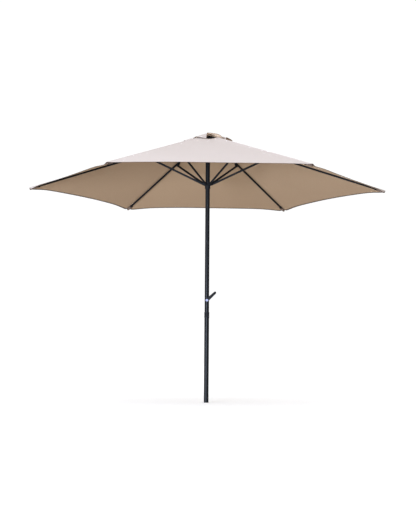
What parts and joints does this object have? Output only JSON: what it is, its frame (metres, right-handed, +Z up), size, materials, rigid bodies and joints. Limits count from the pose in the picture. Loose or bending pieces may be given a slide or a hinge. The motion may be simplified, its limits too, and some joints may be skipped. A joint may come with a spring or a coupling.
{
  "type": "patio umbrella",
  "caption": "Hexagonal crank-lift patio umbrella: straight two-piece pole, folding rib and strut frame, vented sand cloth canopy.",
  "frame": {"origin": "centre of the pole's foot, on its lower end face", "axes": "+Z up along the pole; the crank faces -Y, and two ribs lie along +X and -X"},
  "size_m": [2.9202, 2.5296, 2.207],
  "materials": {
    "pole_steel": "satin dark grey powder coat",
    "frame_steel": "satin dark grey powder coat",
    "black_plastic": "fine grained black",
    "bright_metal": "satin bright",
    "canopy_cloth": "plain woven polyester, sand",
    "lift_cord": "braided cord"
  },
  "bodies": {
    "mast": {"lower_pole": "pole_steel", "foot_plug": "black_plastic", "joint_sleeve": "frame_steel", "joint_collar": "black_plastic", "upper_pole": "pole_steel", "top_hub": "black_plastic", "hub_pins": "bright_metal", "vent_crown": "canopy_cloth", "finial": "canopy_cloth", "pulley_axle": "bright_metal", "crank_housing": "black_plastic", "brake_spring": "bright_metal", "lift_cord": "lift_cord"},
    "runner": {"runner": "black_plastic", "runner_ring": "black_plastic", "lift_cord_fall": "lift_cord"},
    "pulley": {"cord_pulley": "bright_metal"},
    "crank": {"crank_spool": "black_plastic", "cord_winding": "lift_cord", "crank_arm": "black_plastic", "crank_cap": "bright_metal"},
    "knob": {"crank_knob": "black_plastic"},
    "rib_1": {"rib_1": "frame_steel", "rib_tip_1": "black_plastic", "strut_bracket_1": "black_plastic", "canopy_sector_1": "canopy_cloth"},
    "strut_1": {"strut_1": "frame_steel"},
    "gore_1": {"gore_fold_1": "canopy_cloth"},
    "rib_2": {"rib_2": "frame_steel", "rib_tip_2": "black_plastic", "strut_bracket_2": "black_plastic", "canopy_sector_2": "canopy_cloth"},
    "strut_2": {"strut_2": "frame_steel"},
    "gore_2": {"gore_fold_2": "canopy_cloth"},
    "rib_3": {"rib_3": "frame_steel", "rib_tip_3": "black_plastic", "strut_bracket_3": "black_plastic", "canopy_sector_3": "canopy_cloth"},
    "strut_3": {"strut_3": "frame_steel"},
    "gore_3": {"gore_fold_3": "canopy_cloth"},
    "rib_4": {"rib_4": "frame_steel", "rib_tip_4": "black_plastic", "strut_bracket_4": "black_plastic", "canopy_sector_4": "canopy_cloth"},
    "strut_4": {"strut_4": "frame_steel"},
    "gore_4": {"gore_fold_4": "canopy_cloth"},
    "rib_5": {"rib_5": "frame_steel", "rib_tip_5": "black_plastic", "strut_bracket_5": "black_plastic", "canopy_sector_5": "canopy_cloth"},
    "strut_5": {"strut_5": "frame_steel"},
    "gore_5": {"gore_fold_5": "canopy_cloth"},
    "rib_6": {"rib_6": "frame_steel", "rib_tip_6": "black_plastic", "strut_bracket_6": "black_plastic", "canopy_sector_6": "canopy_cloth"},
    "strut_6": {"strut_6": "frame_steel"},
    "gore_6": {"gore_fold_6": "canopy_cloth"}
  },
  "joints": [
    {"name": "runner_slide", "type": "slide", "parent": "mast", "child": "runner", "axis": [0, 0, -1], "range_m": [0, 0.62376], "deforming": ["lift_cord_fall"]},
    {"name": "rib_1_fold", "type": "hinge", "parent": "mast", "child": "rib_1", "pos_m": [0.032, 0, 2.165], "axis": [0, 1, 0], "range_deg": [0, 66.81], "deforming": ["canopy_sector_1"]},
    {"name": "strut_1_hinge", "type": "hinge", "parent": "rib_1", "child": "strut_1", "pos_m": [0.5002, 0, 2.00018], "axis": [0, -1, 0], "range_deg": [0, 127.49]},
    {"name": "gore_1_fold", "type": "hinge", "parent": "mast", "child": "gore_1", "pos_m": [0.03046, 0.01759, 2.17125], "axis": [-0.5, 0.866, 0], "range_deg": [0, 69.06], "deforming": ["gore_fold_1"]},
    {"name": "rib_2_fold", "type": "hinge", "parent": "mast", "child": "rib_2", "pos_m": [0.016, 0.02771, 2.165], "axis": [-0.866, 0.5, 0], "range_deg": [0, 66.81], "deforming": ["canopy_sector_2"]},
    {"name": "strut_2_hinge", "type": "hinge", "parent": "rib_2", "child": "strut_2", "pos_m": [0.2501, 0.43319, 2.00018], "axis": [0.866, -0.5, 0], "range_deg": [0, 127.49]},
    {"name": "gore_2_fold", "type": "hinge", "parent": "mast", "child": "gore_2", "pos_m": [0, 0.03518, 2.17125], "axis": [-1, 0, 0], "range_deg": [0, 69.06], "deforming": ["gore_fold_2"]},
    {"name": "rib_3_fold", "type": "hinge", "parent": "mast", "child": "rib_3", "pos_m": [-0.016, 0.02771, 2.165], "axis": [-0.866, -0.5, 0], "range_deg": [0, 66.81], "deforming": ["canopy_sector_3"]},
    {"name": "strut_3_hinge", "type": "hinge", "parent": "rib_3", "child": "strut_3", "pos_m": [-0.2501, 0.43319, 2.00018], "axis": [0.866, 0.5, 0], "range_deg": [0, 127.49]},
    {"name": "gore_3_fold", "type": "hinge", "parent": "mast", "child": "gore_3", "pos_m": [-0.03046, 0.01759, 2.17125], "axis": [-0.5, -0.866, 0], "range_deg": [0, 69.06], "deforming": ["gore_fold_3"]},
    {"name": "rib_4_fold", "type": "hinge", "parent": "mast", "child": "rib_4", "pos_m": [-0.032, 0, 2.165], "axis": [0, -1, 0], "range_deg": [0, 66.81], "deforming": ["canopy_sector_4"]},
    {"name": "strut_4_hinge", "type": "hinge", "parent": "rib_4", "child": "strut_4", "pos_m": [-0.5002, 0, 2.00018], "axis": [0, 1, 0], "range_deg": [0, 127.49]},
    {"name": "gore_4_fold", "type": "hinge", "parent": "mast", "child": "gore_4", "pos_m": [-0.03046, -0.01759, 2.17125], "axis": [0.5, -0.866, 0], "range_deg": [0, 69.06], "deforming": ["gore_fold_4"]},
    {"name": "rib_5_fold", "type": "hinge", "parent": "mast", "child": "rib_5", "pos_m": [-0.016, -0.02771, 2.165], "axis": [0.866, -0.5, 0], "range_deg": [0, 66.81], "deforming": ["canopy_sector_5"]},
    {"name": "strut_5_hinge", "type": "hinge", "parent": "rib_5", "child": "strut_5", "pos_m": [-0.2501, -0.43319, 2.00018], "axis": [-0.866, 0.5, 0], "range_deg": [0, 127.49]},
    {"name": "gore_5_fold", "type": "hinge", "parent": "mast", "child": "gore_5", "pos_m": [0, -0.03518, 2.17125], "axis": [1, 0, 0], "range_deg": [0, 69.06], "deforming": ["gore_fold_5"]},
    {"name": "rib_6_fold", "type": "hinge", "parent": "mast", "child": "rib_6", "pos_m": [0.016, -0.02771, 2.165], "axis": [0.866, 0.5, 0], "range_deg": [0, 66.81], "deforming": ["canopy_sector_6"]},
    {"name": "strut_6_hinge", "type": "hinge", "parent": "rib_6", "child": "strut_6", "pos_m": [0.2501, -0.43319, 2.00018], "axis": [-0.866, -0.5, 0], "range_deg": [0, 127.49]},
    {"name": "gore_6_fold", "type": "hinge", "parent": "mast", "child": "gore_6", "pos_m": [0.03046, -0.01759, 2.17125], "axis": [0.5, 0.866, 0], "range_deg": [0, 69.06], "deforming": ["gore_fold_6"]},
    {"name": "crank_turn", "type": "hinge", "parent": "mast", "child": "crank", "pos_m": [0, -0.0385, 0.825], "axis": [0, -1, 0], "range_deg": [0, 3600.1]},
    {"name": "pulley_spin", "type": "hinge", "parent": "mast", "child": "pulley", "pos_m": [0, 0.012, 2.128], "axis": [-1, 0, 0], "range_deg": [0, 3324.55]},
    {"name": "knob_spin", "type": "hinge", "parent": "crank", "child": "knob", "pos_m": [0.06436, -0.058, 0.88502], "axis": [0, -1, 0], "continuous": true}
  ],
  "couplings": [
    {"joint": "rib_1_fold", "follows": "runner_slide", "rad_per_m": 1.8691},
    {"joint": "strut_1_hinge", "follows": "runner_slide", "rad_per_m": 3.567},
    {"joint": "gore_1_fold", "follows": "runner_slide", "rad_per_m": 1.9321},
    {"joint": "rib_2_fold", "follows": "runner_slide", "rad_per_m": 1.8691},
    {"joint": "strut_2_hinge", "follows": "runner_slide", "rad_per_m": 3.567},
    {"joint": "gore_2_fold", "follows": "runner_slide", "rad_per_m": 1.9321},
    {"joint": "rib_3_fold", "follows": "runner_slide", "rad_per_m": 1.8691},
    {"joint": "strut_3_hinge", "follows": "runner_slide", "rad_per_m": 3.567},
    {"joint": "gore_3_fold", "follows": "runner_slide", "rad_per_m": 1.9321},
    {"joint": "rib_4_fold", "follows": "runner_slide", "rad_per_m": 1.8691},
    {"joint": "strut_4_hinge", "follows": "runner_slide", "rad_per_m": 3.567},
    {"joint": "gore_4_fold", "follows": "runner_slide", "rad_per_m": 1.9321},
    {"joint": "rib_5_fold", "follows": "runner_slide", "rad_per_m": 1.8691},
    {"joint": "strut_5_hinge", "follows": "runner_slide", "rad_per_m": 3.567},
    {"joint": "gore_5_fold", "follows": "runner_slide", "rad_per_m": 1.9321},
    {"joint": "rib_6_fold", "follows": "runner_slide", "rad_per_m": 1.8691},
    {"joint": "strut_6_hinge", "follows": "runner_slide", "rad_per_m": 3.567},
    {"joint": "gore_6_fold", "follows": "runner_slide", "rad_per_m": 1.9321},
    {"joint": "crank_turn", "follows": "runner_slide", "rad_per_m": 100.73},
    {"joint": "pulley_spin", "follows": "runner_slide", "rad_per_m": 93.023}
  ]
}
